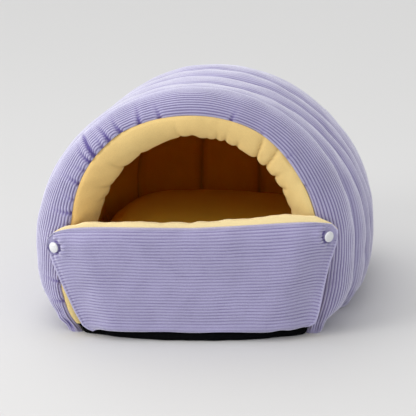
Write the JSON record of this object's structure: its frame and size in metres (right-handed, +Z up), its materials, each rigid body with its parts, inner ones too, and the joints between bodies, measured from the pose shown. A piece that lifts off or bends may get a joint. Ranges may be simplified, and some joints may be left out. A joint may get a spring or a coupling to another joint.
{
  "type": "pet cave bed",
  "caption": "Padded arched pet cave of wide-wale corduroy, with a fat rolled mouth, a soft lining, an inner cushion and a front flap folded up and held by snaps.",
  "frame": {"origin": "middle of the underside's bounding box, on the floor", "axes": "+Z up, -Y out of the mouth, +X to the right hand of someone who looks into the mouth"},
  "size_m": [0.4846, 0.497, 0.3376],
  "materials": {
    "corduroy": "wide-wale corduroy, lilac",
    "lining_cloth": "short soft plush, butter yellow",
    "underside_cloth": "dotted anti-slip cloth, black",
    "snap_plastic": "glossy white"
  },
  "bodies": {
    "root": {"shell": "corduroy", "lining": "lining_cloth", "back_panel": "corduroy", "back_lining": "lining_cloth", "cushion": "lining_cloth", "base": "underside_cloth", "flap_face": "corduroy", "flap_lining": "lining_cloth", "snap_left": "snap_plastic", "snap_right": "snap_plastic"}
  },
  "joints": []
}
